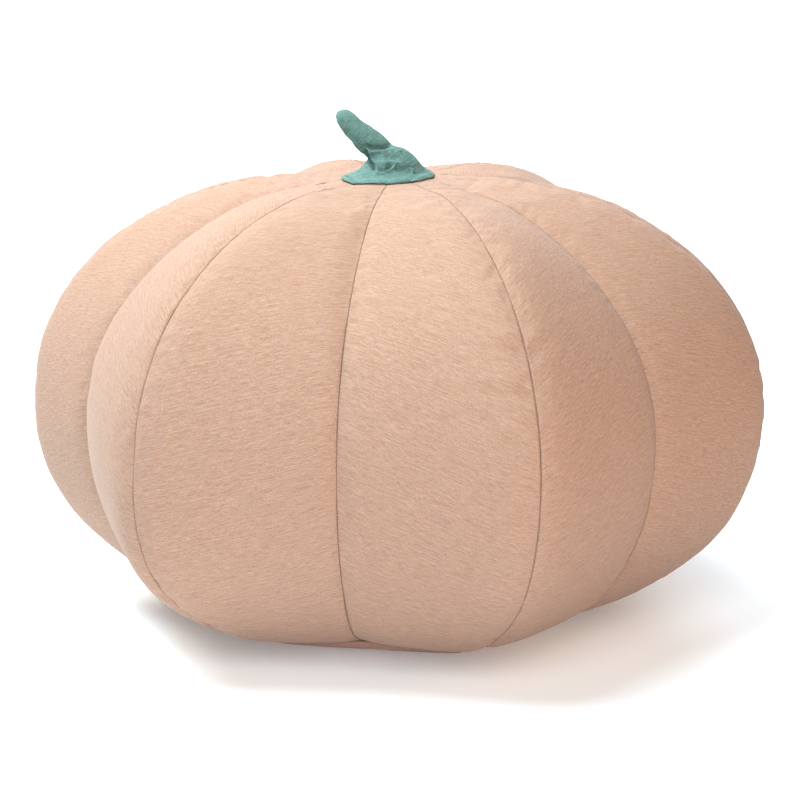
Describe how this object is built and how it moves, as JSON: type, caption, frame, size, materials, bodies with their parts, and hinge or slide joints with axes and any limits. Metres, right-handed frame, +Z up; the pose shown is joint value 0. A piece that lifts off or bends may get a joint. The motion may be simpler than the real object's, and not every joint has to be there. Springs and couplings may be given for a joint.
{
  "type": "floor pouf",
  "caption": "Stuffed floor pouf in the shape of a pumpkin: lobed body sewn from cloth panels, flat base panel and a bent cloth stem.",
  "frame": {"origin": "middle of the flat underside, on the floor", "axes": "+Z up, -Y to the front of the pouf as pictured, +X to the viewer's right; the stem leans towards -X"},
  "size_m": [0.8, 0.7553, 0.5587],
  "materials": {
    "panel_cloth": "matte peach melange weave",
    "base_cloth": "matte peach melange weave",
    "stem_cloth": "matte teal-green weave"
  },
  "bodies": {
    "root": {"panel_front_right_a": "panel_cloth", "panel_front_right_b": "panel_cloth", "panel_right_a": "panel_cloth", "panel_right_b": "panel_cloth", "panel_back_right_a": "panel_cloth", "panel_back_right_b": "panel_cloth", "panel_back_left_a": "panel_cloth", "panel_back_left_b": "panel_cloth", "panel_left_a": "panel_cloth", "panel_left_b": "panel_cloth", "panel_front_left_a": "panel_cloth", "panel_front_left_b": "panel_cloth", "base_panel": "base_cloth", "stem": "stem_cloth"}
  },
  "joints": []
}
